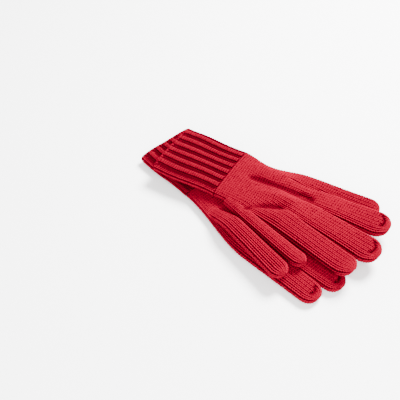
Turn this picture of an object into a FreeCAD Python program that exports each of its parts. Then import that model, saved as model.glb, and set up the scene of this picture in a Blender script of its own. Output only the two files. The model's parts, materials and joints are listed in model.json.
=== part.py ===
import FreeCAD, Part
import math
import os
import Sketcher

# A pair of knitted gloves lying flat: the left glove palm down on the right glove, which lies palm up.
# Both thumbs are on the -Y side and all fingers point along +X. Each glove is drawn in its own frame:
# origin at the middle of the wrist and half its thickness, X towards the fingers, Y across the palm.

Vector = FreeCAD.Vector
Rotation = FreeCAD.Rotation
Placement = FreeCAD.Placement
SIDES = ("left", "right")
DIGITS = ("thumb", "index", "middle", "ring", "little")

# Digits whose palm end swings on a knuckle; the left glove lies on the others.
HINGED = {"left": DIGITS, "right": ("thumb", "index")}
# The outermost of them swing sideways over the surface, and the others fold up and back.
SPLAYED = (("left", "little"), ("right", "index"))
# Digits that leave the flat of the palm; the right thumb leaves it from a raised base.
PALM_DIGITS = {"left": DIGITS, "right": DIGITS[1:]}

FABRIC = {
    "thickness": 10.0,          # a glove lying flat, back and palm together
    "wall": 1.8,                # one layer of the pressed knit
    "layer_gap": 0.3,           # between the two gloves
    "edge_round": 4.8,          # radius of the rolled edge round a stall
    "root_corner": 6.0,         # corner radius at the palm end of a stall
    "knuckle_gap": 5.4,         # from a knuckle line back to the palm's edge
    "splay_gap": 6.8,           # the same, where the stall also swings sideways
    "crotch_ease": 0.3,         # how far the palm's edge runs past a stall's side
    "wrist_width": 60.0,
    "palm_reach": 160.0,        # longer than any palm
    "cuff_length": 58.0,
    "cuff_wall": 2.2,
    "edge_length": 5.0,
    "edge_wall": 2.5,
    "elastic_thread": 1.0,
    "elastic_groove": 0.6,      # half the groove's width
    "elastic_pitch": 11.0,
    "elastic_rows": 5.0,
    "tie_loop": 1.5,
    "tie_yarn": 1.4,
    "stitch_yarn": 1.4,
    "stitch_height": 4.0,
    "stitch_ease": 0.15,        # between a tack and the palm's edge
    "thread_ease": 0.02,        # between an elastic thread and its groove
    "overrun": 1.0,             # how far a hollow runs out through its mouth
}

# Length from the knuckle line to the tip, and width at the palm end.
STALLS = {
    "thumb": (62.0, 12.4),
    "index": (73.8, 20.0),
    "middle": (81.0, 18.0),
    "ring": (78.5, 17.0),
    "little": (62.0, 15.0),
}

# Where each wrist lies, and the line along which a palm bends down over its lower neighbour.
# "heel" is a point on the thumb side of the palm and "edge" one on the little finger's side.
GLOVES = {
    "left": {"x": -37.4, "y": 3.1, "yaw": 9.0, "level": 15.3,
             "heel_x": 24.0, "heel_y": -34.3, "edge_x": 33.5, "edge_y": 29.6,
             "bend_yaw": -22.5, "bend_tilt": 15.0},
    "right": {"x": -52.4, "y": -5.4, "yaw": -7.9, "level": 5.0,
              "heel_x": 62.0, "heel_y": -38.7, "edge_x": 36.0, "edge_y": 30.8,
              "bend_yaw": 0.0, "bend_tilt": 0.0},
}

# Each knuckle in its glove's frame: x, y, height, yaw, dip towards the tip and roll about the stall.
# The last value is the stall's width near its tip, which depends on how its neighbours press it.
KNUCKLES = {
    "left": {
        "thumb": (46.1, -41.0, 0.0, -18.6, 0.0, 0.0, 14.6),
        "index": (72.2, -29.3, 0.8, -14.7, 0.0, 3.5, 22.8),
        "middle": (75.0, -7.5, 0.0, -9.8, 0.0, 0.0, 28.2),
        "ring": (72.2, 11.3, -1.6, -0.5, -1.9, -2.0, 27.0),
        "little": (70.4, 31.9, -9.5, 1.1, 0.0, -2.0, 22.0),
    },
    "right": {
        "thumb": (67.2, -30.8, 10.9, -6.0, 0.0, 4.0, 17.6),
        "index": (85.6, -30.2, 0.0, 1.8, 0.0, 0.0, 22.4),
        "middle": (83.8, -10.1, 0.0, 4.3, 0.0, 0.0, 22.4),
        "ring": (78.0, 8.1, 0.0, 6.6, 0.0, 0.0, 18.6),
        "little": (78.4, 25.0, 0.0, 12.1, 0.0, 0.0, 16.0),
    },
}
KNUCKLE_LABELS = ("x", "y", "height", "yaw", "dip", "roll", "tip_width")

# The right thumb's raised base and the way up into it from the palm.
THUMB_BASE = {
    "base_back": 25.0,
    "base_outer": -31.0,
    "base_inner": -22.0,
    "way_up_back": 34.0,
    "way_up_front": 50.0,
    "way_up_outer": -31.0,
    "way_up_inner": -24.5,
}


# ---- the spreadsheet of driving dimensions ----

doc = FreeCAD.newDocument("knitted_gloves")
dims = doc.addObject("Spreadsheet::Sheet", "dims")
sheet_rows = []


def add_dimension(name, value):
    """Store one plain number under an alias that expressions can use."""
    sheet_rows.append(name)
    cell = f"B{len(sheet_rows)}"
    dims.set(f"A{len(sheet_rows)}", name)
    dims.set(cell, str(value))
    dims.setAlias(cell, name)


for name, value in {**FABRIC, **THUMB_BASE}.items():
    add_dimension(name, value)
for digit, sizes in STALLS.items():
    for label, value in zip(("length", "root_width"), sizes):
        add_dimension(f"{digit}_{label}", value)
for side in SIDES:
    for label, value in GLOVES[side].items():
        add_dimension(f"{side}_{label}", value)
    for digit, place in KNUCKLES[side].items():
        for label, value in zip(KNUCKLE_LABELS, place):
            add_dimension(f"{side}_{digit}_{label}", value)
doc.recompute()


def value_of(expression):
    return float(dims.evalExpression(expression))


# ---- sketching helpers ----

def sketch_on(body, plane_role, name, offset=None):
    """A sketch on one of the body's own origin planes."""
    plane = next(item for item in body.Origin.OriginFeatures if item.Role == plane_role)
    sketch = body.newObject("Sketcher::SketchObject", name)
    sketch.AttachmentSupport = [(plane, "")]
    sketch.MapMode = "FlatFace"
    if offset is not None:
        sketch.AttachmentOffset = Placement(offset, Rotation())
    return sketch


def bind(sketch, kind, places, expression):
    """Add one dimension to a sketch and bind it to the sheet."""
    index = sketch.addConstraint(Sketcher.Constraint(kind, *places, value_of(expression)))
    sketch.setExpression(f"Constraints[{index}]", expression)


def pin_point(sketch, edge, end, across, up):
    """Place a sketch point by its two distances from the origin."""
    bind(sketch, "DistanceX", (-1, 1, edge, end), across)
    bind(sketch, "DistanceY", (-1, 1, edge, end), up)


def draw_polygon(sketch, corners):
    """A closed outline through corners, each a pair of expressions."""
    points = [Vector(value_of(across), value_of(up), 0) for across, up in corners]
    for index, point in enumerate(points):
        sketch.addGeometry(Part.LineSegment(point, points[(index + 1) % len(points)]), False)
    for index, corner in enumerate(corners):
        following = (index + 1) % len(corners)
        sketch.addConstraint(Sketcher.Constraint("Coincident", index, 2, following, 1))
        pin_point(sketch, index, 1, *corner)


def draw_arc(sketch, across, up, radius, start, end):
    """A counter-clockwise arc with its centre and radius bound to expressions."""
    circle = Part.Circle(Vector(value_of(across), value_of(up), 0), Vector(0, 0, 1), value_of(radius))
    arc = sketch.addGeometry(Part.ArcOfCircle(circle, start, end), False)
    pin_point(sketch, arc, 3, across, up)
    bind(sketch, "Radius", (arc,), radius)
    return arc


def arc_end(sketch, arc, last):
    geometry = sketch.Geometry[arc]
    return geometry.EndPoint if last else geometry.StartPoint


def join_arcs(sketch, first, second):
    """A line from the end of one arc to the start of the next, tangent to both."""
    line = Part.LineSegment(arc_end(sketch, first, True), arc_end(sketch, second, False))
    edge = sketch.addGeometry(line, False)
    sketch.addConstraint(Sketcher.Constraint("Tangent", first, 2, edge, 1))
    sketch.addConstraint(Sketcher.Constraint("Tangent", edge, 2, second, 1))


def draw_stadium(sketch, width, height):
    """A flattened ring: two half circles joined by straight runs, centred on the origin."""
    reach = f"({width} - ({height})) / 2"
    radius = f"({height}) / 2"
    right = draw_arc(sketch, reach, "0", radius, -math.pi / 2, math.pi / 2)
    left = draw_arc(sketch, f"-({reach})", "0", radius, math.pi / 2, 3 * math.pi / 2)
    join_arcs(sketch, right, left)
    join_arcs(sketch, left, right)


def both_ways(feature, length):
    """Make a pad or pocket symmetric about its sketch."""
    feature.SideType = "Symmetric"
    feature.setExpression("Length", length)


def finish_feature(body, feature, grows):
    """Recompute and check that the feature added or removed material as it should."""
    before = body.Shape.Volume if not body.Shape.isNull() else 0.0
    body.Tip = feature
    doc.recompute()
    change = body.Shape.Volume - before
    if (change > 0) != grows:
        raise RuntimeError(f"{feature.Name} changed the volume by {change:.2f}")


def pad(body, sketch, length, name):
    feature = body.newObject("PartDesign::Pad", name)
    feature.Profile = sketch
    both_ways(feature, length)
    finish_feature(body, feature, grows=True)
    return feature


def pocket(body, sketch, length, name):
    feature = body.newObject("PartDesign::Pocket", name)
    feature.Profile = sketch
    both_ways(feature, length)
    finish_feature(body, feature, grows=False)
    return feature


def pattern_along_x(body, feature, name):
    """Repeat a feature along the cuff, once for each elastic row."""
    axis = next(item for item in body.Origin.OriginFeatures if item.Role == "X_Axis")
    rows = body.newObject("PartDesign::LinearPattern", name)
    rows.Originals = [feature]
    rows.Direction = (axis, [""])
    rows.setExpression("Length", "dims.elastic_pitch * (dims.elastic_rows - 1)")
    rows.setExpression("Occurrences", "dims.elastic_rows")
    return rows


def new_body(name):
    body = doc.addObject("PartDesign::Body", name)
    body.Label = name
    return body


# ---- places ----

def glove_placement(side):
    glove = GLOVES[side]
    return Placement(Vector(glove["x"], glove["y"], glove["level"]), Rotation(glove["yaw"], 0, 0))


def knuckle_placement(side, digit):
    """The stall's own frame: origin on the knuckle line, X towards the tip."""
    x, y, height, yaw, dip, roll, _ = KNUCKLES[side][digit]
    turn = Rotation(yaw, 0, 0) * Rotation(0, 0, roll) * Rotation(0, dip, 0)
    return glove_placement(side) * Placement(Vector(x, y, height), turn)


def on_stall(side, digit, along, across):
    """Expressions for a point in the glove's frame, given along and across one stall."""
    knuckle = f"dims.{side}_{digit}"
    x = f"{knuckle}_x + ({along}) * cos({knuckle}_yaw) - ({across}) * sin({knuckle}_yaw)"
    y = f"{knuckle}_y + ({along}) * sin({knuckle}_yaw) + ({across}) * cos({knuckle}_yaw)"
    return x, y


def setback(side, digit):
    """How far the palm's edge lies behind a knuckle line."""
    if (side, digit) in SPLAYED:
        return "dims.splay_gap"
    if digit in HINGED[side]:
        return "dims.knuckle_gap"
    return "dims.thickness / 2"


# ---- stalls: the closed tubes of the thumb and fingers ----

def tangent_angle(run, first_radius, second_radius, rise):
    """Direction of the outward normal of the line that touches two circles on their upper side."""
    distance = math.hypot(run, rise)
    return math.atan2(rise, run) + math.acos((first_radius - second_radius) / distance)


def draw_stall_outline(sketch, side, digit):
    """A tapered outline with rounded corners at the palm end and a round tip."""
    tip_radius = f"dims.{side}_{digit}_tip_width / 2"
    tip_centre = f"dims.{digit}_length - {tip_radius}"
    corner_along = "dims.root_corner - dims.thickness / 2"
    corner_across = f"dims.{digit}_root_width / 2 - dims.root_corner"
    slope = tangent_angle(value_of(f"{tip_centre} - ({corner_along})"), value_of("dims.root_corner"),
                          value_of(tip_radius), -value_of(corner_across))
    corner = "dims.root_corner"
    lower = draw_arc(sketch, corner_along, f"-({corner_across})", corner, math.pi, 2 * math.pi - slope)
    tip = draw_arc(sketch, tip_centre, "0", tip_radius, -slope, slope)
    upper = draw_arc(sketch, corner_along, corner_across, corner, slope, math.pi)
    join_arcs(sketch, lower, tip)
    join_arcs(sketch, tip, upper)
    join_arcs(sketch, upper, lower)


def draw_stall_hollow(sketch, side, digit):
    """The space inside a stall, open at the palm end."""
    tip_radius = f"dims.{side}_{digit}_tip_width / 2 - dims.wall"
    mouth = "-dims.thickness"
    half_mouth = f"dims.{digit}_root_width / 2 - dims.wall"
    tip_centre = f"dims.{digit}_length - dims.{side}_{digit}_tip_width / 2"
    tip = draw_arc(sketch, tip_centre, "0", tip_radius, -math.pi / 2, math.pi / 2)
    corners = [Vector(value_of(mouth), sign * value_of(half_mouth), 0) for sign in (1, -1)]
    upper = sketch.addGeometry(Part.LineSegment(arc_end(sketch, tip, True), corners[0]), False)
    back = sketch.addGeometry(Part.LineSegment(*corners), False)
    lower = sketch.addGeometry(Part.LineSegment(corners[1], arc_end(sketch, tip, False)), False)
    sketch.addConstraint(Sketcher.Constraint("Coincident", upper, 2, back, 1))
    sketch.addConstraint(Sketcher.Constraint("Coincident", back, 2, lower, 1))
    sketch.addConstraint(Sketcher.Constraint("Tangent", tip, 2, upper, 1))
    sketch.addConstraint(Sketcher.Constraint("Tangent", lower, 2, tip, 1))
    pin_point(sketch, back, 1, mouth, half_mouth)
    pin_point(sketch, back, 2, mouth, f"-({half_mouth})")


def rim_edges(feature):
    """Names of the edges round the top and bottom faces of a pad."""
    half = value_of("dims.thickness / 2")
    names = []
    for number, edge in enumerate(feature.Shape.Edges, start=1):
        if all(abs(abs(vertex.Z) - half) < 1e-6 for vertex in edge.Vertexes):
            names.append(f"Edge{number}")
    return names


def add_stall(side, digit):
    name = f"{side}_{digit}_stall"
    body = new_body(name)
    outline = sketch_on(body, "XY_Plane", f"{name}_outline")
    draw_stall_outline(outline, side, digit)
    blank = pad(body, outline, "dims.thickness", f"{name}_blank")
    rim = body.newObject("PartDesign::Fillet", f"{name}_rim")
    rim.Base = (blank, rim_edges(blank))
    rim.setExpression("Radius", "dims.edge_round")
    finish_feature(body, rim, grows=False)
    hollow = sketch_on(body, "XY_Plane", f"{name}_hollow")
    draw_stall_hollow(hollow, side, digit)
    pocket(body, hollow, "dims.thickness - 2 * dims.wall", f"{name}_inside")
    body.Placement = knuckle_placement(side, digit)
    return body


def add_tip_tie(side, digit):
    """The loop of yarn that draws the last stitches together inside a tip."""
    tie = doc.addObject("Part::Torus", f"{side}_{digit}_tip_tie")
    tie.Label = tie.Name
    tie.setExpression("Radius1", "dims.tie_loop")
    tie.setExpression("Radius2", "dims.tie_yarn / 2")
    inset = value_of(f"dims.{digit}_length - dims.wall - dims.tie_yarn / 2 - dims.layer_gap")
    across_tip = Placement(Vector(inset, 0, 0), Rotation(Vector(0, 1, 0), 90))
    tie.Placement = knuckle_placement(side, digit) * across_tip
    return tie


# ---- palms ----

def palm_front(side, digit):
    """The stretch of the palm's edge that faces one stall, from its -Y end to its +Y end."""
    half = f"dims.{digit}_root_width / 2 + dims.crotch_ease"
    back = f"-({setback(side, digit)})"
    return [on_stall(side, digit, back, f"-({half})"), on_stall(side, digit, back, half)]


def palm_mouth(side, digit):
    """The corners of the hollow where it opens towards one stall."""
    half = f"dims.{digit}_root_width / 2 - dims.wall"
    inside = f"-({setback(side, digit)}) - dims.wall"
    outside = f"-({setback(side, digit)}) + dims.overrun"
    return [on_stall(side, digit, inside, f"-({half})"), on_stall(side, digit, outside, f"-({half})"),
            on_stall(side, digit, outside, half), on_stall(side, digit, inside, half)]


def palm_outline(side):
    half_wrist = "dims.wrist_width / 2"
    corners = [("0", f"-{half_wrist}"), (f"dims.{side}_heel_x", f"dims.{side}_heel_y")]
    for digit in PALM_DIGITS[side]:
        corners += palm_front(side, digit)
    corners += [(f"dims.{side}_edge_x", f"dims.{side}_edge_y"), ("0", half_wrist)]
    return corners


def palm_hollow(side):
    half_inside = "dims.wrist_width / 2 - dims.cuff_wall"
    corners = [("-dims.overrun", f"-({half_inside})"),
               (f"dims.{side}_heel_x", f"dims.{side}_heel_y + dims.cuff_wall")]
    for digit in PALM_DIGITS[side]:
        corners += palm_mouth(side, digit)
    corners.append((f"dims.{side}_edge_x", f"dims.{side}_edge_y - dims.cuff_wall"))
    corners.append(("-dims.overrun", half_inside))
    return corners


def prism(name, corners, height):
    """An upright block with the given outline, centred on its own XY plane."""
    body = new_body(name)
    sketch = sketch_on(body, "XY_Plane", f"{name}_outline")
    draw_polygon(sketch, corners)
    pad(body, sketch, height, f"{name}_block")
    return body


def bent_layer(side, name, thickness):
    """A layer of even thickness that is flat up to the bend line and slopes down beyond it."""
    body = new_body(name)
    sketch = sketch_on(body, "YZ_Plane", f"{name}_profile")
    tilt = f"dims.{side}_bend_tilt"
    half = f"({thickness}) / 2"
    mitre = f"({half} * tan({tilt} / 2) + dims.thread_ease)"
    reach = "dims.palm_reach"
    drop = f"-{reach} * tan({tilt})"
    draw_polygon(sketch, [(f"-{reach}", f"-{half}"), (f"-{mitre}", f"-{half}"),
                          (reach, f"{drop} - {half} / cos({tilt})"),
                          (reach, f"{drop} + {half} / cos({tilt})"),
                          (mitre, half), (f"-{reach}", half)])
    pad(body, sketch, f"2 * {reach}", f"{name}_band")
    body.Placement = Placement(Vector(0, value_of("dims.wrist_width / 2"), 0),
                               Rotation(GLOVES[side]["bend_yaw"], 0, 0))
    return body


def boolean(kind, name, first, second):
    feature = doc.addObject(f"Part::{kind}", name)
    feature.Base = first
    feature.Tool = second
    doc.recompute()
    return feature


def bent_prism(side, name, corners, thickness):
    """The part of an upright block that lies within the bent layer."""
    block = prism(f"{name}_prism", corners, "dims.palm_reach / 2")
    layer = bent_layer(side, f"{name}_layer", thickness)
    return boolean("Common", name, block, layer)


def raised_block(name, corners, bottom, top):
    """A block between two heights above the middle of the glove."""
    body = new_body(name)
    middle = value_of(f"(({bottom}) + ({top})) / 2")
    sketch = sketch_on(body, "XY_Plane", f"{name}_outline", Vector(0, 0, middle))
    draw_polygon(sketch, corners)
    pad(body, sketch, f"({top}) - ({bottom})", f"{name}_block")
    return body


def rectangle(back, front, outer, inner):
    return [(back, outer), (front, outer), (front, inner), (back, inner)]


def with_thumb_base(outer, hollow):
    """Add the right thumb's raised base, its hollow and the way up into it."""
    base = [("dims.base_back", "dims.base_outer")] + palm_front("right", "thumb")
    base.append(("dims.base_back", "dims.base_inner"))
    top = "dims.right_thumb_height + dims.thickness / 2"
    raised = raised_block("thumb_base", base, "0", top)
    inset_back = "dims.base_back + dims.wall"
    room = [(inset_back, "dims.base_outer + dims.wall")] + palm_mouth("right", "thumb")
    room.append((inset_back, "dims.base_inner - dims.wall"))
    half_room = "dims.thickness / 2 - dims.wall"
    inside = raised_block("thumb_base_hollow", room, f"dims.right_thumb_height - ({half_room})",
                          f"dims.right_thumb_height + {half_room}")
    shaft = rectangle("dims.way_up_back", "dims.way_up_front", "dims.way_up_outer", "dims.way_up_inner")
    way_up = raised_block("thumb_way_up", shaft, "0", "dims.right_thumb_height")
    outer = boolean("Fuse", "right_palm_outer_with_base", outer, raised)
    hollow = boolean("Fuse", "right_palm_hollow_with_way_up", hollow, way_up)
    hollow = boolean("Fuse", "right_palm_hollow_with_base", hollow, inside)
    return outer, hollow


def add_palm(side):
    outer = bent_prism(side, f"{side}_palm_outer", palm_outline(side), "dims.thickness")
    hollow = bent_prism(side, f"{side}_palm_hollow", palm_hollow(side),
                        "dims.thickness - 2 * dims.wall")
    if "thumb" not in PALM_DIGITS[side]:
        outer, hollow = with_thumb_base(outer, hollow)
    palm = boolean("Cut", f"{side}_palm", outer, hollow)
    palm.Label = palm.Name
    palm.Placement = glove_placement(side)
    return palm


def add_crotch_stitches(side):
    """The yarn tacks that close the corners between neighbouring digits."""
    tacks = []
    digits = PALM_DIGITS[side]
    for digit in digits[1:]:
        tack = doc.addObject("Part::Cylinder", f"{side}_tack_by_{digit}")
        tack.setExpression("Radius", "dims.stitch_yarn / 2")
        tack.setExpression("Height", "dims.stitch_height")
        along = f"-({setback(side, digit)}) + dims.stitch_yarn / 2 + dims.stitch_ease"
        across = f"-(dims.{digit}_root_width / 2 - dims.stitch_yarn / 2)"
        x, y = on_stall(side, digit, along, across)
        height = KNUCKLES[side][digit][2]
        foot = Vector(value_of(x), value_of(y), height - value_of("dims.stitch_height / 2"))
        tack.Placement = Placement(foot, Rotation())
        tacks.append(tack)
    group = doc.addObject("Part::Compound", f"{side}_crotch_stitches")
    group.Label = group.Name
    group.Links = tacks
    group.Placement = glove_placement(side)
    return group


# ---- cuffs ----

CUFF_HOLLOW_WIDTH = "dims.wrist_width - 2 * dims.cuff_wall"
CUFF_HOLLOW_HEIGHT = "dims.thickness - 2 * dims.cuff_wall"


def ring_body(side, name, back, length, wall):
    """A length of flattened tube whose wrist end is the given distance behind the wrist."""
    body = new_body(f"{side}_{name}")
    middle = value_of(f"-({back}) - ({length}) / 2")
    sketch = sketch_on(body, "YZ_Plane", f"{side}_{name}_section", Vector(0, 0, middle))
    draw_stadium(sketch, "dims.wrist_width", "dims.thickness")
    draw_stadium(sketch, f"dims.wrist_width - 2 * {wall}", f"dims.thickness - 2 * {wall}")
    pad(body, sketch, length, f"{side}_{name}_tube")
    body.Placement = glove_placement(side)
    return body


def first_row():
    """Distance of the elastic row nearest the cuff's edge from the wrist, along X."""
    span = "dims.elastic_pitch * (dims.elastic_rows - 1)"
    return value_of(f"-dims.cuff_length / 2 - {span} / 2")


def add_cuff_rib(side):
    """The ribbed tube, with a groove inside for each row of elastic thread."""
    body = ring_body(side, "cuff_rib", "0", "dims.cuff_length", "dims.cuff_wall")
    groove = sketch_on(body, "YZ_Plane", f"{side}_groove_section", Vector(0, 0, first_row()))
    draw_stadium(groove, f"{CUFF_HOLLOW_WIDTH} + 2 * dims.elastic_thread",
                 f"{CUFF_HOLLOW_HEIGHT} + 2 * dims.elastic_thread")
    cut = pocket(body, groove, "2 * dims.elastic_groove", f"{side}_groove")
    grooves = pattern_along_x(body, cut, f"{side}_grooves")
    finish_feature(body, grooves, grows=False)
    return body


def add_cuff_elastic(side):
    """Round elastic threads knitted into the cuff, one closed loop in each groove."""
    body = new_body(f"{side}_cuff_elastic")
    loop = sketch_on(body, "YZ_Plane", f"{side}_elastic_loop", Vector(0, 0, first_row()))
    draw_stadium(loop, f"{CUFF_HOLLOW_WIDTH} + dims.elastic_thread",
                 f"{CUFF_HOLLOW_HEIGHT} + dims.elastic_thread")
    section = sketch_on(body, "XZ_Plane", f"{side}_elastic_section")
    half_loop = f"({CUFF_HOLLOW_HEIGHT} + dims.elastic_thread) / 2"
    radius = "dims.elastic_thread / 2 - dims.thread_ease"
    centre = Vector(first_row(), value_of(half_loop), 0)
    ring = section.addGeometry(Part.Circle(centre, Vector(0, 0, 1), value_of(radius)), False)
    bind(section, "Radius", (ring,), radius)
    bind(section, "DistanceY", (-1, 1, ring, 3), half_loop)
    section.addConstraint(Sketcher.Constraint("DistanceX", -1, 1, ring, 3, first_row()))
    doc.recompute()
    thread = body.newObject("PartDesign::AdditivePipe", f"{side}_elastic_thread")
    thread.Profile = section
    thread.Spine = (loop, ["Edge1", "Edge2", "Edge3", "Edge4"])
    finish_feature(body, thread, grows=True)
    threads = pattern_along_x(body, thread, f"{side}_elastic_rows")
    finish_feature(body, threads, grows=True)
    body.Placement = glove_placement(side)
    return body


# ---- the pair ----

def build_glove(side):
    pieces = [add_palm(side), add_crotch_stitches(side), add_cuff_rib(side),
              ring_body(side, "cuff_edge", "dims.cuff_length", "dims.edge_length", "dims.edge_wall"),
              add_cuff_elastic(side)]
    for digit in DIGITS:
        pieces.append(add_stall(side, digit))
        pieces.append(add_tip_tie(side, digit))
    return pieces


def check_document():
    for item in doc.Objects:
        if "Invalid" in item.State or "Error" in item.State:
            raise RuntimeError(f"{item.Name} did not recompute: {item.State}")


def write_part(piece):
    shape = piece.Shape
    if shape.isNull() or not shape.isValid():
        raise RuntimeError(f"{piece.Label} has no valid shape")
    shape.exportStep(os.path.join("parts", f"{piece.Label}.step"))
    print(f"{piece.Label}: {len(shape.Solids)} solid(s), {shape.Volume:.1f} mm3")


pieces = [piece for side in SIDES for piece in build_glove(side)]
doc.recompute()
check_document()
os.makedirs("parts", exist_ok=True)
for piece in pieces:
    write_part(piece)
box = Part.makeCompound([piece.Shape for piece in pieces]).BoundBox
print(f"pair: X {box.XMin:.2f} to {box.XMax:.2f}, Y {box.YMin:.2f} to {box.YMax:.2f}, "
      f"Z {box.ZMin:.2f} to {box.ZMax:.2f}")
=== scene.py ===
import json
import math

import bpy
import numpy as np
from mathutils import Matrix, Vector

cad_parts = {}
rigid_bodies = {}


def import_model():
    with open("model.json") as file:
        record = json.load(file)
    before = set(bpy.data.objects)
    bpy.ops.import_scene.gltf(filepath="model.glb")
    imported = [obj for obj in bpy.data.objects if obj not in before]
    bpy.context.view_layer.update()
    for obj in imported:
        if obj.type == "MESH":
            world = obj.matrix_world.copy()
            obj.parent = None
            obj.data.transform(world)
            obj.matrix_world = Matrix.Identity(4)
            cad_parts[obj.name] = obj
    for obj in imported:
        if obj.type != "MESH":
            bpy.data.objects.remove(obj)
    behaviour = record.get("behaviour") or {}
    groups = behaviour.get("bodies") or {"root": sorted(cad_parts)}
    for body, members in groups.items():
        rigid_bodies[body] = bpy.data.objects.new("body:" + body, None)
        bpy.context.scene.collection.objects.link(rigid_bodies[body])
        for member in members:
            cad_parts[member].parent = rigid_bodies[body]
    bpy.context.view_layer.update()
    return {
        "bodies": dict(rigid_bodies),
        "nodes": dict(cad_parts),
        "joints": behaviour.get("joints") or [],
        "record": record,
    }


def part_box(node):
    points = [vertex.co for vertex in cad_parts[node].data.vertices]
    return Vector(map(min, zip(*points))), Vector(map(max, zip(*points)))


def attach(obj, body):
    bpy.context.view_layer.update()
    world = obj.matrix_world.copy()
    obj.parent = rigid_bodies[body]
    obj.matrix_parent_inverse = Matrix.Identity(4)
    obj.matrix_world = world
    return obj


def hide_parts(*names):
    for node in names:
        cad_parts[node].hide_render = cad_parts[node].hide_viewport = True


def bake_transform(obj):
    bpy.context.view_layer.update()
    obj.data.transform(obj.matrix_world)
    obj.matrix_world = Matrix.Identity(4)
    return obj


# The looks of a pair of knitted gloves. Their fabric is made of real loops of yarn, row by row, laid over
# a smooth surface that is worked out here from the same knuckles as the CAD part. Lengths are in mm.

MM = 0.001
UP = np.array([0.0, 0.0, 1.0])
FINGERS = ("index", "middle", "ring", "little")
FIXED = {"right": ("middle", "ring", "little"), "left": ()}

# ---- the gloves' places, as in the CAD part ----

WRISTS = {
    "left": {"place": (-37.4, 3.1, 15.3), "yaw": 9.0},
    "right": {"place": (-52.4, -5.4, 5.0), "yaw": -7.9},
}
# x, y, height, yaw, dip and roll of each knuckle in its glove's frame.
KNUCKLES = {
    "left": {
        "thumb": (46.1, -41.0, 0.0, -18.6, 0.0, 0.0),
        "index": (72.2, -29.3, 0.8, -14.7, 0.0, 3.5),
        "middle": (75.0, -7.5, 0.0, -9.8, 0.0, 0.0),
        "ring": (72.2, 11.3, -1.6, -0.5, -1.9, -2.0),
        "little": (70.4, 31.9, -9.5, 1.1, 0.0, -2.0),
    },
    "right": {
        "thumb": (67.2, -30.8, 10.9, -6.0, 0.0, 4.0),
        "index": (85.6, -30.2, 0.0, 1.8, 0.0, 0.0),
        "middle": (83.8, -10.1, 0.0, 4.3, 0.0, 0.0),
        "ring": (78.0, 8.1, 0.0, 6.6, 0.0, 0.0),
        "little": (78.4, 25.0, 0.0, 12.1, 0.0, 0.0),
    },
}
LENGTHS = {"thumb": 62.0, "index": 73.8, "middle": 81.0, "ring": 78.5, "little": 62.0}

# ---- how the knit fills them ----

WRIST_WIDTH = 59.0
CUFF_LENGTH = 58.0
EDGE_LENGTH = 5.0
HALF_THICKNESS = 3.8        # from a glove's middle to the middle of its yarn
YARN_OUTSIDE = 1.0          # how far the yarn stands outside its own middle line
COURSE = 2.4                # one row of stitches
CUFF_COURSE = 2.2
CUFF_WALES = 56
CUFF_WAVE = (0.02, 9.0)     # share by which the cuff's width wavers, and how slowly
CUFF_FLARE = 0.012          # share by which it is wider at its far end
WAIST = {"left": 5.6, "right": 2.0}     # how far the palm's outer edge is drawn in
WAIST_GROWS = (0.0, 0.40)   # shares of the palm's length between which it is drawn in
WAIST_FADES = (0.42, 0.84)
ARCH_START = 0.60           # share of the palm's length where the fingers' arches begin
SPLIT_ROWS = 4              # a finger's piece starts this many rows behind its crotches
CROTCH_EASE = 14.0          # how far along a finger its root settles into its own shape
HALF_ROOTS = {
    "left": {"thumb": 5.0, "index": 10.6, "middle": 9.6, "ring": 9.2, "little": 8.2},
    "right": {"thumb": 7.0, "index": 11.6, "middle": 9.6, "ring": 9.0, "little": 8.0},
}
TIP_RADII = {
    "left": {"thumb": 7.2, "index": 11.1, "middle": 13.7, "ring": 13.5, "little": 11.0},
    "right": {"thumb": 8.9, "index": 11.2, "middle": 11.2, "ring": 9.3, "little": 8.0},
}
TIP_LIFTS = {("left", "index"): 2.2, ("left", "thumb"): 1.2}    # tips that curl up a little
TIP_LIFT_REACH = 20.0
TOP_WALES = {"thumb": 5, "index": 7, "middle": 8, "ring": 8, "little": 6}
THUMB_ROOT = {"left": 34.0, "right": 42.0}      # how far back a thumb's piece starts
THUMB_LEVEL = 0.1304        # share of that length over which it keeps its height
THUMB_THINNING = 0.4        # and how much thinner and narrower it is at the back
THUMB_NARROWING = 0.35
CAP_STRETCH = 1.12          # fabric to each radian of a tip's round end, against its radius
CAP_END = math.radians(84)  # how far round it the stitches go, up to the drawn-in middle
CAP_LIMIT = math.radians(89)
CAP_POWER = 3.2             # how squarely a tip's thickness ends
PLUMP = {"left": 1.16, "right": 1.0}            # the upper side of a glove against its lower side

# Tips drawn in on the upper side: depth of the crease, and how far it lies inside the outline.
TIP_CREASES = {
    ("left", "ring"): (3.4, 5.2),
    ("left", "middle"): (2.6, 5.0),
    ("right", "middle"): (3.4, 5.0),
    ("right", "index"): (2.6, 5.0),
}
CREASE_WIDTH = 1.2
CREASE_BEARING = 0.25       # radians by which its middle lies to the little finger's side
CREASE_REACH = 1.35         # radians from its middle to its ends
CREASE_FADE = 0.6           # radians over which it fades there
CREASE_RISE = 0.625         # share of the fabric's height above which the crease is full

# How much shade is painted into the yarn's colour where little light gets in: in the creases, in the
# hollows of the folds, and on the sides of stalls that lie pressed against a neighbour.
CREASE_SHADE = 0.75
HOLLOW_SHADE = 0.6
HOLLOW_RANGE = (0.8, 2.6)   # depths at which a hollow starts to darken and is darkest
CROWDED_SHADE = 0.85
CROWDED = {                 # -1 for a stall's -Y side and 1 for its +Y side
    ("left", "thumb"): (-1, 1),
    ("left", "index"): (-1,),
    ("right", "thumb"): (1,),
    ("right", "middle"): (1,),
}
CROWDED_HEIGHTS = (-0.25, 0.75)         # shares of the half thickness: full below, none above
CROWDED_SIDES = (0.4, 0.85)             # shares of the half width: none inside, full outside
CROWDED_ROOT = (-30.0, -10.0)           # from the knuckle line: none behind, full ahead
CROWDED_TIP = (4.0, 12.0)               # back from the tip: none ahead, full behind

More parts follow.
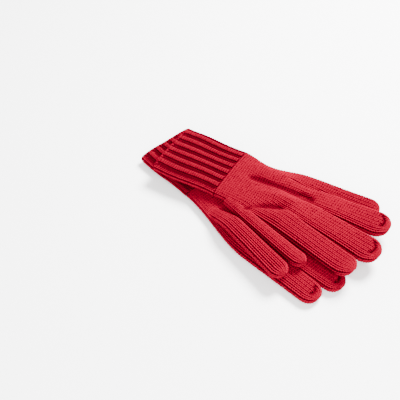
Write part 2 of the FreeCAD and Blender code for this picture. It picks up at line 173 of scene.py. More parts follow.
# One stitch, in shares of a wale or a course, and the yarn.
LOOP_LEAN = 0.17
LOOP_GATHER = 0.022         # how far both legs of a stitch lie towards its middle
LOOP_REACH = 0.80
LOOP_DEPTH = 0.75
LOOP_STEPS = 12
FULL_WALE = 2.0             # a wale this wide takes loops and a lining of full depth
LEAST_LOOP = 0.3            # shares of it that they keep where the wales run together at a tip
LEAST_LINING = 0.05
YARN_SIDES = 6
YARN_SHARE = 0.184          # yarn radius against the wale's width
YARN_RADII = (0.24, 0.54)
RIB_RELIEF = 0.65
RIB_SHARPNESS = 1.8
LINING_DEPTH = 1.25
RIB_LINING_DEPTH = 1.5
LINING_AT_EDGES = -0.15     # share of that depth at the rolled edges, where gaps would show
LINING_WALL = 0.7
LINING_STEPS = 3            # to a wale
LINING_ROWS = 1.5           # to a course
PLY_SHADE = 0.12            # how much the wound plies show in the colour
BURIED_SHADE = 0.56         # and how much painted shade darkens a loop where the next one covers it
EVEN_SHADE = 0.28           # painted shade taken off all along, because a loop's open stretches gain as much
PLY_OFFSET = 0.5            # from the middle of a two-ply yarn to each ply, and the ply's radius,
PLY_RADIUS = 0.55           # in shares of the yarn's radius

# Shares of its strip in the bake map that one row of yarn, and one part of a piece, fills.
YARN_FILL = 0.9
BAND_FILL = 0.98

# ---- sewing yarn, edges and elastic ----

LOOP_POINTS = 48            # points round a small sewn loop
ROUND_POINTS = 480          # and round a cuff
TIE = {"loop": 1.5, "yarn": 0.62, "turns": 7}
TACK = {"setback": 1.2, "half_length": 0.8, "half_height": 2.4, "yarn": 0.5, "turns": 8}
EDGE_ROLL = {"row": 0.35, "depth": 0.4, "yarn": 1.2, "turns": 60}
ELASTIC_THREADS = {"rows": 5, "pitch": 11.0, "depth": 2.5, "yarn": 0.45}


# ---- small geometry helpers ----

def ease(x, start, end):
    """A smooth step from 0 at the start to 1 at the end."""
    x = np.clip((x - start) / (end - start), 0.0, 1.0)
    return x * x * (3.0 - 2.0 * x)


def turn(axis, degrees):
    c, s = math.cos(math.radians(degrees)), math.sin(math.radians(degrees))
    if axis == "x":
        return np.array([[1, 0, 0], [0, c, -s], [0, s, c]])
    if axis == "y":
        return np.array([[c, 0, s], [0, 1, 0], [-s, 0, c]])
    return np.array([[c, -s, 0], [s, c, 0], [0, 0, 1]])


def unit(vectors):
    return vectors / np.maximum(np.linalg.norm(vectors, axis=-1, keepdims=True), 1e-9)


def glove_frame(side):
    return np.array(WRISTS[side]["place"]), turn("z", WRISTS[side]["yaw"])


def digit_frame(side, digit):
    place, frame = glove_frame(side)
    x, y, height, yaw, dip, roll = KNUCKLES[side][digit]
    turned = frame @ turn("z", yaw) @ turn("x", roll) @ turn("y", dip)
    return place + frame @ np.array([x, y, height]), turned


class HalfRing:
    """The upper half of a flattened ring, in even steps from its -Y edge to its +Y edge."""

    POINTS = 600

    def __init__(self, half_width, half_height, power):
        angle = np.linspace(math.pi, 0.0, self.POINTS)
        self.across = np.sign(np.cos(angle)) * np.abs(np.cos(angle)) ** (2.0 / power)
        self.up = np.abs(np.sin(angle)) ** (2.0 / power)
        steps = np.hypot(np.diff(self.across * half_width), np.diff(self.up * half_height))
        self.share = np.concatenate(([0.0], np.cumsum(steps))) / steps.sum()

    def at(self, share):
        return np.interp(share, self.share, self.across), np.interp(share, self.share, self.up)


FINGER_RING = HalfRing(12.0, HALF_THICKNESS, 3.0)
THUMB_RING = HalfRing(8.0, HALF_THICKNESS, 2.3)
PALM_RING = HalfRing(34.0, HALF_THICKNESS, 3.0)


def unrolled(u):
    """Share of the way from the -Y edge to the +Y edge, and whether that is on the upper side."""
    u = np.mod(u, 1.0)
    upper = u < 0.5
    return np.where(upper, 2.0 * u, 2.0 - 2.0 * u), np.where(upper, 1.0, -1.0)


# ---- folds and unevenness of the fabric ----

# Gentle waves: height, length along X and Y, and where each starts.
WAVES = [
    (0.22, 7.3, 11.0, 0.0),
    (0.2, -17.0, 6.1, 1.0),
]
FOLD_WANDER = (1.5, 4.0)    # how far a fold strays to each side of its line, and how often
FOLD_ENDS = (-0.09, 0.21)   # shares of its length between which it grows from nothing

# Each fold: a line from one point to another in the glove's frame, its height and its half width.
FOLDS = {
    "left": [
        ((14.0, 2.0), (82.0, 8.5), -3.6, 4.6),
        ((64.0, 9.0), (82.0, 5.5), -1.4, 3.4),
        ((30.0, -14.5), (76.0, -5.0), 2.2, 5.0),
        ((30.0, -36.0), (66.0, -12.5), -3.2, 4.2),
        ((34.0, -31.5), (70.0, -30.0), 1.8, 5.5),
        ((10.0, 14.0), (66.0, 22.0), 1.4, 6.0),
    ],
    "right": [
        ((10.0, -16.0), (60.0, -24.0), -0.8, 5.0),
    ],
}


def fold_height(side, points):
    """How far the upper fabric rises or sinks at these points."""
    place, frame = glove_frame(side)
    local = (points - place) @ frame
    x, y = local[..., 0], local[..., 1]
    height = 0.0
    for rise, along_x, along_y, start in WAVES:
        height = height + rise * np.sin(x / along_x + y / along_y + start)
    for start, end, depth, half_width in FOLDS[side]:
        (x0, y0), (x1, y1) = start, end
        length = math.hypot(x1 - x0, y1 - y0)
        along = ((x - x0) * (x1 - x0) + (y - y0) * (y1 - y0)) / length ** 2
        off = ((x - x0) * (y1 - y0) - (y - y0) * (x1 - x0)) / length
        off = off + FOLD_WANDER[0] * np.sin(along * FOLD_WANDER[1])
        ends = ease(along, *FOLD_ENDS) * ease(1.0 - along, *FOLD_ENDS)
        height = height + depth * ends * np.exp(-(off / half_width) ** 2)
    return height


def laid(side, middle, up, upper, half=HALF_THICKNESS):
    """The fabric's place above or below the glove's middle surface."""
    body = up * half * np.where(upper > 0, PLUMP[side], 1.0)
    folds = np.where(upper > 0, fold_height(side, middle) * up, 0.0)
    return middle + UP * (upper * body + folds)[..., None]


# ---- the palm and its fingers ----

class Glove:
    def __init__(self, side):
        self.side = side
        self.place, self.frame = glove_frame(side)
        self.wales = sum(TOP_WALES[digit] for digit in FINGERS)
        counts = [0] + [TOP_WALES[digit] for digit in FINGERS]
        self.borders = np.cumsum(counts) / self.wales
        frames = [digit_frame(side, digit) for digit in FINGERS]
        halves = [HALF_ROOTS[side][digit] for digit in FINGERS]
        lower = [o - r[:, 1] * half for (o, r), half in zip(frames, halves)]
        upper = [o + r[:, 1] * half for (o, r), half in zip(frames, halves)]
        inner = [(a + b) / 2 for a, b in zip(upper[:-1], lower[1:])]
        self.crotches = np.array([lower[0]] + inner + [upper[-1]])
        ahead = [r[:, 0] for _, r in frames]
        between = [(a + b) / 2 for a, b in zip(ahead[:-1], ahead[1:])]
        self.ahead = np.array([ahead[0]] + between + [ahead[-1]])
        self.ahead_middle = np.array(ahead)
        self.reach = float(np.mean([np.linalg.norm(o - self.place) for o, _ in frames]))
        self.rows = int(round(self.reach / COURSE))

    def middle(self, t, s):
        """The middle surface from the wrist (t = 0) to the crotches (t = 1), s across the glove."""
        s = np.clip(s, 0.0, 1.0)
        wrist = self.place + self.frame @ np.array([0.0, -WRIST_WIDTH / 2, 0.0])
        start = wrist + s[..., None] * (self.frame[:, 1] * WRIST_WIDTH)
        end = np.stack([np.interp(s, self.borders, self.crotches[:, i]) for i in range(3)], axis=-1)
        marks = np.sort(np.concatenate((self.borders, (self.borders[1:] + self.borders[:-1]) / 2)))
        heads = np.empty((len(marks), 3))
        heads[0::2] = self.ahead
        heads[1::2] = self.ahead_middle
        ahead = np.stack([np.interp(s, marks, heads[:, i]) for i in range(3)], axis=-1)
        length = np.linalg.norm(end - start, axis=-1, keepdims=True)
        waist = WAIST[self.side] * ease(t, *WAIST_GROWS) * (1 - ease(t, *WAIST_FADES)) * s ** 2
        t = t[..., None]
        leaving = length * self.frame[:, 0]
        arriving = length * ahead
        point = ((2 * t ** 3 - 3 * t ** 2 + 1) * start + (t ** 3 - 2 * t ** 2 + t) * leaving
                 + (3 * t ** 2 - 2 * t ** 3) * end + (t ** 3 - t ** 2) * arriving)
        return point - waist[..., None] * self.frame[:, 1]

    def palm_at(self, t, share, finger, finger_share, upper):
        """A point of the palm, whose section turns from one flat ring into the fingers' arches."""
        arched = ease(t, ARCH_START, 1.0)
        across, up = PALM_RING.at(share)
        finger_across, finger_up = FINGER_RING.at(finger_share)
        low, high = self.borders[finger], self.borders[finger + 1]
        s = (1 - arched) * (across + 1) / 2 + arched * (low + (high - low) * (finger_across + 1) / 2)
        height = (1 - arched) * up + arched * finger_up
        return laid(self.side, self.middle(t, s), height, upper)

    def palm(self, u, row):
        share, upper = unrolled(u)
        wale = share * self.wales
        finger = np.clip(np.searchsorted(self.borders * self.wales, wale, side="right") - 1, 0, 3)
        counts = np.diff(self.borders) * self.wales
        finger_share = np.clip((wale - self.borders[finger] * self.wales) / counts[finger], 0, 1)
        return self.palm_at(row / self.rows, share, finger, finger_share, upper)

    def finger(self, number):
        """The surface of one finger, whose rows carry on from the palm's."""
        digit = FINGERS[number]
        tip = Stall(self.side, digit)
        low, high = self.crotches[number], self.crotches[number + 1]
        count = TOP_WALES[digit]
        first = self.borders[number] * self.wales

        def surface(u, row):
            share, upper = unrolled(u)
            v = (row - self.rows) * tip.course
            ahead = v >= 0
            across, up = FINGER_RING.at(share)
            own, height = tip.middle(np.maximum(v, 0.0), across)
            root = tip.origin + across[..., None] * tip.half_root * tip.frame[:, 1]
            shared = low + (high - low) * ((across + 1) / 2)[..., None]
            settle = (1 - ease(v, 0.0, CROTCH_EASE))[..., None]
            front = laid(self.side, own + settle * (shared - root), up * height, upper)
            front = front + UP * tip.crease(np.maximum(v, 0.0), across, up, upper)[..., None]
            t = np.minimum(row / self.rows, 1.0)
            fingers = np.full(share.shape, number)
            back = self.palm_at(t, (first + share * count) / self.wales, fingers, share, upper)
            return np.where(ahead[..., None], front, back)

        return surface, tip, self.rows - SPLIT_ROWS, self.rows + tip.rows


class Stall:
    """One finger or thumb from its knuckle line to its tip."""

    def __init__(self, side, digit):
        self.side, self.digit = side, digit
        self.origin, self.frame = digit_frame(side, digit)
        self.radius = TIP_RADII[side][digit] - YARN_OUTSIDE
        self.length = LENGTHS[digit] - YARN_OUTSIDE
        self.half_root = HALF_ROOTS[side][digit]
        self.crease_depth, self.crease_inset = TIP_CREASES.get((side, digit), (0.0, 5.0))
        self.straight = self.length - self.radius
        reach = self.straight + self.radius * CAP_STRETCH * CAP_END
        self.rows = int(math.ceil(reach / COURSE))
        self.course = reach / self.rows

    def along(self, v):
        """Distance towards the tip and angle round the cap, for a distance over the fabric."""
        angle = np.clip((v - self.straight) / (self.radius * CAP_STRETCH), 0.0, CAP_LIMIT)
        return np.minimum(v, self.straight) + self.radius * np.sin(angle), angle

    def half_width(self, v):
        widening = np.clip(v / self.straight, 0.0, 1.0)
        return self.half_root + (self.radius - self.half_root) * widening

    def middle(self, v, across):
        """The middle surface beyond the knuckle line, and the share of the thickness that it has."""
        x, angle = self.along(v)
        half = self.half_width(v) * np.cos(angle)
        point = self.origin + x[..., None] * self.frame[:, 0]
        point = point + (across * half)[..., None] * self.frame[:, 1]
        lift = TIP_LIFTS.get((self.side, self.digit), 0.0)
        point = point + UP * (lift * ease(x, self.length - TIP_LIFT_REACH, self.length) ** 2)[..., None]
        height = (1.0 - np.sin(angle) ** CAP_POWER) ** (1.0 / CAP_POWER)
        return point, height

    def crease(self, v, across, up, upper):
        """How far the upper fabric is drawn in at the tip."""
        x, angle = self.along(v)
        groove = self.groove(x - self.straight, across * self.radius * np.cos(angle))
        return np.where(upper > 0, -self.crease_depth * groove * ease(up, 0.0, CREASE_RISE), 0.0)

    def groove(self, forward, sideways):
        """Strength of the tip's crease, an arc that runs just inside the tip's outline."""
        distance = np.hypot(forward, sideways)
        bearing = np.abs(np.arctan2(sideways, forward) - CREASE_BEARING)
        arc = np.exp(-((distance - (self.radius - self.crease_inset)) / CREASE_WIDTH) ** 2)
        return arc * ease(CREASE_REACH - bearing, 0.0, CREASE_FADE)


def thumb_surface(side):
    """A thumb's surface, from inside the palm out to its tip."""
    tip = Stall(side, "thumb")
    back = THUMB_ROOT[side]
    raised = KNUCKLES[side]["thumb"][2]
    back_rows = int(back / COURSE)

    def surface(u, row):
        share, upper = unrolled(u)
        v = (row - back_rows) * tip.course
        across, up = THUMB_RING.at(share)
        middle, height = tip.middle(np.maximum(v, 0.0), across)
        behind = np.minimum(v, 0.0)
        middle = middle + behind[..., None] * tip.frame[:, 0]
        buried = ease(-behind, 0.0, back)
        middle = middle - UP * (raised * ease(-behind / back, THUMB_LEVEL, 1.0))[..., None]
        thin = 1.0 - THUMB_THINNING * buried
        squeezed = (across * tip.half_root * THUMB_NARROWING * buried)[..., None]
        middle = middle - squeezed * tip.frame[:, 1]
        return laid(side, middle, up * height, upper, HALF_THICKNESS * thin)

    return surface, tip, 0, back_rows + tip.rows


def cuff_surface(side, first, course):
    """A cuff's surface; row 0 lies the given distance behind the wrist."""
    place, frame = glove_frame(side)

    def surface(u, row):
        share, upper = unrolled(u)
        across, up = PALM_RING.at(share)
        x = first + row * course
        flare = 1.0 + CUFF_WAVE[0] * np.sin(x / CUFF_WAVE[1]) + CUFF_FLARE * ease(-x, 0.0, CUFF_LENGTH)
        local = np.stack((x, across * WRIST_WIDTH / 2 * flare, np.zeros_like(x)), axis=-1)
        middle = place + local @ frame.T
        return laid(side, middle, up, upper)

    return surface


# ---- yarn ----

def sweep(path, normals, radius, sides=YARN_SIDES):
    """Closed loops of round yarn along closed paths, given as rows of points."""
    ahead = unit(np.roll(path, -1, axis=1) - np.roll(path, 1, axis=1))
    side = unit(np.cross(ahead, normals))
    up = np.cross(side, ahead)
    angle = 2 * math.pi * np.arange(sides) / sides
    ring = (np.cos(angle)[:, None] * up[:, :, None, :] + np.sin(angle)[:, None] * side[:, :, None, :])
    points = path[:, :, None, :] + radius[:, :, None, None] * ring
    rows, steps = path.shape[:2]
    index = np.arange(rows * steps * sides).reshape(rows, steps, sides)
    following = np.roll(index, -1, axis=1)
    beside = np.roll(index, -1, axis=2)
    quads = np.stack((index, following, np.roll(following, -1, axis=2), beside), axis=-1)
    row, step, corner = np.meshgrid(np.arange(rows), np.arange(steps), np.arange(sides), indexing="ij")
    u = np.stack([step, step + 1, step + 1, step], axis=-1) / steps
    v = np.stack([corner, corner, corner + 1, corner + 1], axis=-1) / sides
    bake = np.stack((u, (row[..., None] + (1.0 - YARN_FILL) / 2 + YARN_FILL * v) / rows), axis=-1)
    twist = np.stack((u * steps / LOOP_STEPS, v), axis=-1)
    return points.reshape(-1, 3), quads.reshape(-1, 4), bake.reshape(-1, 2), twist.reshape(-1, 2), 0


def surface_frame(surface, u, row):
    """A surface's points, outward normals and girths at places round it and rows along it."""
    du, dr = 0.002, 0.05
    point = surface(u, row)
    over = surface(u + du, row) - surface(u - du, row)
    along = surface(u, row + dr) - surface(u, row - dr)
    return point, unit(np.cross(along, over)), np.linalg.norm(over, axis=-1) / (2 * du)


def knit(surface, wales, first, last, rib=False):
    """Rows of knitted loops round a surface."""
    tau = np.arange(wales * LOOP_STEPS) / LOOP_STEPS
    rows = np.arange(first, last)
    phase = 2 * math.pi * tau[None, :] + np.zeros((len(rows), 1))
    u = (tau[None, :] + LOOP_LEAN * np.sin(2 * phase) - LOOP_GATHER * np.sin(phase)) / wales
    row = rows[:, None] + LOOP_REACH * np.cos(phase)
    point, normal, girth = surface_frame(surface, u, row)
    face = np.clip(RIB_SHARPNESS * np.sin(math.pi / 2 * (tau + 0.5)), -1, 1)[None, :] if rib else 1.0
    depth = -LOOP_DEPTH * face * np.cos(2 * phase) + (RIB_RELIEF * face if rib else 0.0)
    width = girth / wales
    radius = np.clip(YARN_SHARE * width, *YARN_RADII)
    shallow = np.clip(width / FULL_WALE, LEAST_LOOP, 1.0)
    return sweep(point + normal * (depth * shallow)[..., None], normal, radius)


def lining(surface, wales, first, last, depth=LINING_DEPTH):
    """A thin closed skin just under the loops, so that no light falls through them; its dark colour is
    painted shade.
    """
    around = np.arange(wales * LINING_STEPS) / (wales * LINING_STEPS)
    there = np.linspace(first, last, int((last - first) * LINING_ROWS) + 2)
    u, row = np.meshgrid(around, there)
    point, normal, girth = surface_frame(surface, u, row)
    thin = np.clip(girth / wales / FULL_WALE, LEAST_LINING, 1.0)[..., None]
    depth = depth * (LINING_AT_EDGES + (1.0 - LINING_AT_EDGES) * np.abs(normal[..., 2:]))
    outer = point - normal * depth * thin
    inner = point - normal * (depth + LINING_WALL) * thin
    grid = np.concatenate((outer, inner[::-1]), axis=0)
    rows, steps = grid.shape[:2]
    index = np.arange(rows * steps).reshape(rows, steps)
    ahead = np.roll(index, -1, axis=0)
    quads = np.stack((index, ahead, np.roll(ahead, -1, axis=1), np.roll(index, -1, axis=1)), axis=-1)
    line, step = np.meshgrid(np.arange(rows), np.arange(steps), indexing="ij")
    u = np.stack([step, step, step + 1, step + 1], axis=-1) / steps
    v = np.stack([line, line + 1, line + 1, line], axis=-1) / rows
    bake = np.stack((u, v), axis=-1).reshape(-1, 2)
    return grid.reshape(-1, 3), quads.reshape(-1, 4), bake, np.zeros_like(bake), 1


def plied(path, normals, radius, turns):
    """Two plies of yarn wound round closed paths."""
    steps = path.shape[1]
    ahead = unit(np.roll(path, -1, axis=1) - np.roll(path, 1, axis=1))
    side = unit(np.cross(ahead, normals))
    up = np.cross(side, ahead)
    parts = []
    for start in (0.0, math.pi):
        angle = start + 2 * math.pi * turns * np.arange(steps) / steps
        away = np.cos(angle)[None, :, None] * up + np.sin(angle)[None, :, None] * side
        radii = np.full(path.shape[:2], radius * PLY_RADIUS)
        parts.append(sweep(path + away * radius * PLY_OFFSET, normals, radii))
    return parts


# ---- pieces ----

def make_piece(name, parts, materials):
    """One mesh from several parts, each with its own band of the bake map.

    A part is its points, its quads, their corners' places in the bake map and along the yarn, and the
    number of its material.
    """
    mesh = bpy.data.meshes.new(name)
    counts = np.cumsum([0] + [len(part[0]) for part in parts])
    points = np.concatenate([part[0] for part in parts]) * MM
    quads = np.concatenate([part[1] + start for part, start in zip(parts, counts)])
    mesh.vertices.add(len(points))
    mesh.vertices.foreach_set("co", points.astype(np.float32).ravel())
    mesh.loops.add(quads.size)
    mesh.loops.foreach_set("vertex_index", quads.astype(np.int32).ravel())
    mesh.polygons.add(len(quads))
    mesh.polygons.foreach_set("loop_start", np.arange(0, quads.size, 4, dtype=np.int32))
    mesh.update(calc_edges=True)
    mesh.polygons.foreach_set("use_smooth", np.ones(len(quads), dtype=bool))
    sizes = np.array([len(part[1]) for part in parts], dtype=float)
    edges = np.concatenate(([0.0], np.cumsum(np.sqrt(sizes)))) / np.sqrt(sizes).sum()
    bands = zip(parts, edges[:-1], edges[1:])
    bake = [part[2] * [1.0, (high - low) * BAND_FILL] + [0.0, low] for part, low, high in bands]
    for layer, places in (("OFBake", bake), ("Twist", [part[3] for part in parts])):
        flat = np.concatenate(places).astype(np.float32).ravel()
        mesh.uv_layers.new(name=layer).data.foreach_set("uv", flat)
    piece = bpy.data.objects.new(name, mesh)
    bpy.context.scene.collection.objects.link(piece)
    for material in materials:
        mesh.materials.append(material)
    if len(materials) > 1:
        numbers = np.concatenate([np.full(len(part[1]), part[4]) for part in parts])
        mesh.polygons.foreach_set("material_index", numbers.astype(np.int32))
    return piece


def finish_piece(piece, node, body):
    """Let a piece stand for a CAD node; one with no body is left unattached."""
    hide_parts(node)
    if body is not None:
        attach(piece, body)


def node_math(tree, operation, first, second):
    node = tree.nodes.new("ShaderNodeMath")
    node.operation = operation
    for socket, value in zip(node.inputs, (first, second)):
        if isinstance(value, (int, float)):
            socket.default_value = value
        elif value is not None:
            tree.links.new(value, socket)
    return node.outputs[0]


def yarn_material(name, dark, light, ply_turns=2.0, roughness=0.9, sheen=0.12):
    """Soft dyed yarn: mottled colour, two plies wound round each other, a fuzzy surface and painted
    shade.
    """
    material = bpy.data.materials.new(name)
    material.use_nodes = True
    tree = material.node_tree
    shader = tree.nodes["Principled BSDF"]
    shader.inputs["Roughness"].default_value = roughness
    shader.inputs["Sheen Weight"].default_value = sheen
    shader.inputs["Sheen Roughness"].default_value = 0.5
    shader.inputs["Sheen Tint"].default_value = (1.0, 0.02, 0.08, 1.0)
    shader.inputs["Specular IOR Level"].default_value = 0.0
    place = tree.nodes.new("ShaderNodeTexCoord")
    mottle = tree.nodes.new("ShaderNodeTexNoise")
    mottle.inputs["Scale"].default_value = 420.0
    mottle.inputs["Detail"].default_value = 3.0
    mottle.inputs["Roughness"].default_value = 0.75
    tree.links.new(place.outputs["Object"], mottle.inputs["Vector"])
    yarn = tree.nodes.new("ShaderNodeUVMap")
    yarn.uv_map = "Twist"
    parts = tree.nodes.new("ShaderNodeSeparateXYZ")
    tree.links.new(yarn.outputs["UV"], parts.inputs[0])
    wound = node_math(tree, "MULTIPLY", parts.outputs["X"], ply_turns * 2 * math.pi)
    around = node_math(tree, "MULTIPLY", parts.outputs["Y"], 4 * math.pi)
    ply = node_math(tree, "SINE", node_math(tree, "ADD", wound, around), None)
    # Painted shade: a loop is darker where the next one covers it.
    looped = node_math(tree, "MULTIPLY", parts.outputs["X"], 4 * math.pi)
    buried = node_math(tree, "COSINE", looped, None)
    shade = node_math(tree, "MULTIPLY", ply, PLY_SHADE)
    sunk = node_math(tree, "MULTIPLY_ADD", buried, -BURIED_SHADE)
    sunk.node.inputs[2].default_value = -EVEN_SHADE
    blend = node_math(tree, "ADD", node_math(tree, "ADD", shade, sunk), mottle.outputs["Fac"])
    ramp = tree.nodes.new("ShaderNodeValToRGB")
    ramp.color_ramp.elements[0].position = 0.32
    ramp.color_ramp.elements[0].color = (*dark, 1.0)
    ramp.color_ramp.elements[1].position = 0.70
    ramp.color_ramp.elements[1].color = (*light, 1.0)
    tree.links.new(blend, ramp.inputs["Fac"])
    # Painted shade stored on the points darkens the colour.
    painted_shade_node = tree.nodes.new("ShaderNodeAttribute")
    painted_shade_node.attribute_name = "PaintedShade"
    light_left = node_math(tree, "SUBTRACT", 1.0, painted_shade_node.outputs["Fac"])
    colour = tree.nodes.new("ShaderNodeVectorMath")
    colour.operation = "SCALE"
    tree.links.new(ramp.outputs["Color"], colour.inputs[0])
    tree.links.new(light_left, colour.inputs["Scale"])
    tree.links.new(colour.outputs[0], shader.inputs["Base Color"])
    fibres = tree.nodes.new("ShaderNodeTexNoise")
    fibres.inputs["Scale"].default_value = 3500.0
    tree.links.new(place.outputs["Object"], fibres.inputs["Vector"])
    relief = node_math(tree, "MULTIPLY_ADD", ply, 0.5)
    tree.links.new(fibres.outputs["Fac"], relief.node.inputs[2])
    bump = tree.nodes.new("ShaderNodeBump")
    bump.inputs["Strength"].default_value = 0.5
    bump.inputs["Distance"].default_value = 0.00015
    tree.links.new(relief, bump.inputs["Height"])
    tree.links.new(bump.outputs["Normal"], shader.inputs["Normal"])
    return material


# ---- painted shade, where little light gets in ----

def mesh_points(piece):
    points = np.empty(len(piece.data.vertices) * 3, dtype=np.float32)
    piece.data.vertices.foreach_get("co", points)
    return points.reshape(-1, 3) / MM


def mark_painted_shade(piece, dark):
    """Store the painted shade at each point of a piece: how much darker its colour is made."""
    piece.data.attributes.new("PaintedShade", "FLOAT", "POINT").data.foreach_set("value", dark)


def hollow_shade(side, points, on_top):
    """The shade painted on the upper fabric in the hollows of its folds."""
    return HOLLOW_SHADE * ease(-fold_height(side, points), *HOLLOW_RANGE) * on_top


def stall_shade(tip, points):
    """The shade painted on a stall in its tip's crease, in its hollows and against its neighbours."""
    x, y, z = ((points - tip.origin) @ tip.frame).T
    dark = CREASE_SHADE * tip.groove(x - tip.straight, y) * (z > 0) * (tip.crease_depth > 0)
    low = 1.0 - ease(z / HALF_THICKNESS, *CROWDED_HEIGHTS)
    ends = ease(x, *CROWDED_ROOT) * ease(tip.length - x, *CROWDED_TIP)
    for sign in CROWDED.get((tip.side, tip.digit), ()):
        side_on = ease(sign * y / tip.half_width(x), *CROWDED_SIDES)
        dark = np.maximum(dark, CROWDED_SHADE * low * ends * side_on)
    return np.maximum(dark, hollow_shade(tip.side, points, z > 0))


# ---- build ----

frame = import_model()

PLAIN = yarn_material("plain_knit_yarn", (0.040, 0.0, 0.0025), (0.193, 0.0, 0.0114))
# The lining's darker copy of the plain yarn is painted shade, seen in the gaps between the loops.
PLAIN_LINING_SHADE = yarn_material("plain_knit_lining_painted_shade", (0.018, 0.0, 0.0008), (0.040, 0.0, 0.0018))
RIB = yarn_material("rib_knit_yarn", (0.038, 0.0, 0.0024), (0.185, 0.0, 0.0109))
# The rib lining's darker copy is painted shade as well.
RIB_LINING_SHADE = yarn_material("rib_knit_lining_painted_shade", (0.018, 0.0, 0.0008), (0.040, 0.0, 0.0018))
SEWING = yarn_material("sewing_yarn", (0.04, 0.0, 0.002), (0.14, 0.0, 0.007), 3.0)
ELASTIC = yarn_material("elastic_thread", (0.06, 0.002, 0.004), (0.12, 0.004, 0.008), 4.0, 0.55)


def build_digit(side, digit, surface, tip, first, last):
    """One stall, attached to the glove's body if it is fixed to its palm, and otherwise left unattached.
    """
    wales = 2 * TOP_WALES[digit]
    name = f"{side}_{digit}_stall"
    parts = [knit(surface, wales, first, last + 1), lining(surface, wales, first, last + 0.6)]
    piece = make_piece(f"{name}_knit", parts, (PLAIN, PLAIN_LINING_SHADE))
    # Painted shade in the stall's crease, in its hollows and on sides pressed against a neighbour.
    mark_painted_shade(piece, stall_shade(tip, mesh_points(piece)))
    body, palm = f"{side}_{digit}", f"{side}_glove"
    if digit in FIXED[side]:
        finish_piece(piece, name, palm)
        return
    finish_piece(piece, name, None)
    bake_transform(piece)


def oval(centre, first, second):
    """Points round an oval with the given half axes."""
    angle = 2 * math.pi * np.arange(LOOP_POINTS) / LOOP_POINTS
    return centre + np.cos(angle)[:, None] * first + np.sin(angle)[:, None] * second


def build_tie(side, digit):
    """The loop of closing yarn inside a tip, over its CAD stand-in."""
    node = f"{side}_{digit}_tip_tie"
    low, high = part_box(node)
    centre = np.array((low + high) / 2) / MM
    _, turned = digit_frame(side, digit)
    path = oval(centre, TIE["loop"] * turned[:, 1], TIE["loop"] * turned[:, 2])
    normals = np.broadcast_to(turned[:, 0], path.shape)
    plies = plied(path[None], normals[None], TIE["yarn"], TIE["turns"])
    piece = make_piece(f"{node}_yarn", plies, (SEWING,))
    body = f"{side}_glove" if digit in FIXED[side] else f"{side}_{digit}"
    finish_piece(piece, node, body)


def build_crotch_stitches(side, glove):
    """An upright two-ply loop of yarn in each corner between two fingers."""
    parts = []
    for crotch, ahead in zip(glove.crotches[1:-1], glove.ahead[1:-1]):
        ahead = unit(ahead)
        centre = crotch - TACK["setback"] * ahead
        path = oval(centre, TACK["half_length"] * ahead, TACK["half_height"] * UP)
        normals = np.broadcast_to(unit(np.cross(UP, ahead)), path.shape)
        parts += plied(path[None], normals[None], TACK["yarn"], TACK["turns"])
    piece = make_piece(f"{side}_crotch_stitches_yarn", parts, (SEWING,))
    finish_piece(piece, f"{side}_crotch_stitches", f"{side}_glove")


def build_cuff_rib(side):
    rib = cuff_surface(side, -CUFF_LENGTH, CUFF_COURSE)
    rows = int(CUFF_LENGTH / CUFF_COURSE)
    parts = [knit(rib, CUFF_WALES, 0, rows + 1, rib=True),
             lining(rib, CUFF_WALES, -0.3, rows + 0.6, RIB_LINING_DEPTH)]
    piece = make_piece(f"{side}_cuff_rib_knit", parts, (RIB, RIB_LINING_SHADE))
    finish_piece(piece, f"{side}_cuff_rib", f"{side}_glove")


def round_cuff(surface, row):
    """A path once round a cuff at one row, with its outward normals."""
    u = np.arange(ROUND_POINTS)[None, :] / ROUND_POINTS
    path, normals, _ = surface_frame(surface, u, np.full_like(u, row))
    return path, normals


def build_cuff_edge(side):
    """The rolled end of the cuff: a few rows of rib and a thick two-ply cord of yarn."""
    edge = cuff_surface(side, -CUFF_LENGTH - EDGE_LENGTH, CUFF_COURSE)
    rows = EDGE_LENGTH / CUFF_COURSE
    parts = [knit(edge, CUFF_WALES, 1, int(rows) + 1, rib=True),
             lining(edge, CUFF_WALES, 0.5, rows, RIB_LINING_DEPTH)]
    path, normals = round_cuff(edge, EDGE_ROLL["row"])
    parts += plied(path - normals * EDGE_ROLL["depth"], normals, EDGE_ROLL["yarn"], EDGE_ROLL["turns"])
    piece = make_piece(f"{side}_cuff_edge_knit", parts, (RIB, RIB_LINING_SHADE))
    finish_piece(piece, f"{side}_cuff_edge", f"{side}_glove")


def build_cuff_elastic(side):
    """Elastic threads round the inside of the cuff, evenly spaced about its middle."""
    rib = cuff_surface(side, -CUFF_LENGTH, CUFF_COURSE)
    parts = []
    for number in range(ELASTIC_THREADS["rows"]):
        from_middle = ELASTIC_THREADS["pitch"] * (number - (ELASTIC_THREADS["rows"] - 1) / 2)
        path, normals = round_cuff(rib, (CUFF_LENGTH / 2 + from_middle) / CUFF_COURSE)
        radii = np.full(path.shape[:2], ELASTIC_THREADS["yarn"])
        parts.append(sweep(path - normals * ELASTIC_THREADS["depth"], normals, radii))
    piece = make_piece(f"{side}_cuff_elastic_thread", parts, (ELASTIC,))
    finish_piece(piece, f"{side}_cuff_elastic", f"{side}_glove")


def build_palm(side, glove):
    wales = 2 * glove.wales
    last = glove.rows - SPLIT_ROWS
    parts = [knit(glove.palm, wales, 1, last), lining(glove.palm, wales, 0.2, last + 0.5)]
    piece = make_piece(f"{side}_palm_knit", parts, (PLAIN, PLAIN_LINING_SHADE))
    # Painted shade in the hollows of the palm's folds.
    points = mesh_points(piece)
    on_top = points[:, 2] > glove.place[2] - HALF_THICKNESS / 2
    mark_painted_shade(piece, hollow_shade(side, points, on_top))
    finish_piece(piece, f"{side}_palm", f"{side}_glove")


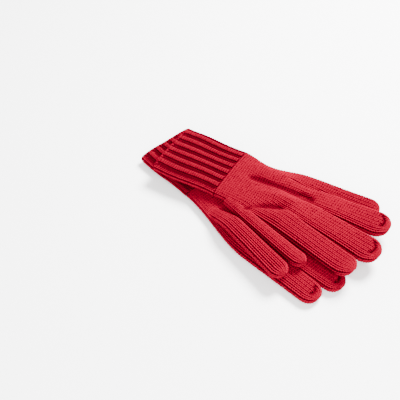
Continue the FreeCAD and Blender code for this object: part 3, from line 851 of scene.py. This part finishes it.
def build_glove(side):
    glove = Glove(side)
    build_palm(side, glove)
    for number, digit in enumerate(FINGERS):
        build_digit(side, digit, *glove.finger(number))
    build_digit(side, "thumb", *thumb_surface(side))
    for digit in LENGTHS:
        build_tie(side, digit)
    build_crotch_stitches(side, glove)
    build_cuff_rib(side)
    build_cuff_edge(side)
    build_cuff_elastic(side)


for side in WRISTS:
    build_glove(side)


# ---- floor, light and camera, in metres ----

FLOOR_SIZE = 6.0
FLOOR_HEIGHT = -0.0005
KEY = {"place": (0.05, 0.65, 0.9), "size": 0.5, "power": 92.0}
FILL = {"place": (0.6, -0.7, 0.7), "size": 1.0, "power": 38.0}
SKY_STRENGTH = 1.3
LOOK_AT = Vector((-0.0461, -0.0283, 0.0))
CAMERA_BACK = Vector((0.4408, -0.5254, 0.7278))
CAMERA_DISTANCE = 0.829
LENS = 82.9
SENSOR_WIDTH = 36.0


def add_floor():
    bpy.ops.mesh.primitive_plane_add(size=FLOOR_SIZE, location=(0, 0, FLOOR_HEIGHT))
    floor = bpy.context.object
    floor.name = "floor"
    material = bpy.data.materials.new("pale_table")
    material.use_nodes = True
    tree = material.node_tree
    shader = tree.nodes["Principled BSDF"]
    shader.inputs["Roughness"].default_value = 0.7
    grain = tree.nodes.new("ShaderNodeTexNoise")
    grain.inputs["Scale"].default_value = 6.0
    ramp = tree.nodes.new("ShaderNodeValToRGB")
    ramp.color_ramp.elements[0].color = (0.92, 0.92, 0.92, 1.0)
    ramp.color_ramp.elements[1].color = (0.95, 0.95, 0.95, 1.0)
    tree.links.new(grain.outputs["Fac"], ramp.inputs["Fac"])
    tree.links.new(ramp.outputs["Color"], shader.inputs["Base Color"])
    floor.data.materials.append(material)


def add_light(name, place, size, power):
    """A round soft light that faces the gloves."""
    lamp = bpy.data.lights.new(name, "AREA")
    lamp.shape = "DISK"
    lamp.size = size
    lamp.energy = power
    light = bpy.data.objects.new(name, lamp)
    bpy.context.scene.collection.objects.link(light)
    light.location = place
    light.rotation_euler = (-Vector(place)).to_track_quat("-Z", "Y").to_euler()


def add_camera():
    lens = bpy.data.cameras.new("photo_view")
    lens.lens = LENS
    lens.sensor_width = SENSOR_WIDTH
    camera = bpy.data.objects.new("photo_view", lens)
    bpy.context.scene.collection.objects.link(camera)
    camera.location = LOOK_AT + CAMERA_BACK * CAMERA_DISTANCE
    camera.rotation_euler = (-CAMERA_BACK).to_track_quat("-Z", "Y").to_euler()
    bpy.context.scene.camera = camera


def add_sky():
    world = bpy.data.worlds.new("studio")
    world.use_nodes = True
    background = world.node_tree.nodes["Background"]
    background.inputs["Color"].default_value = (1.0, 1.0, 1.0, 1.0)
    background.inputs["Strength"].default_value = SKY_STRENGTH
    bpy.context.scene.world = world


add_floor()
add_light("key", **KEY)
add_light("fill", **FILL)
add_camera()
add_sky()
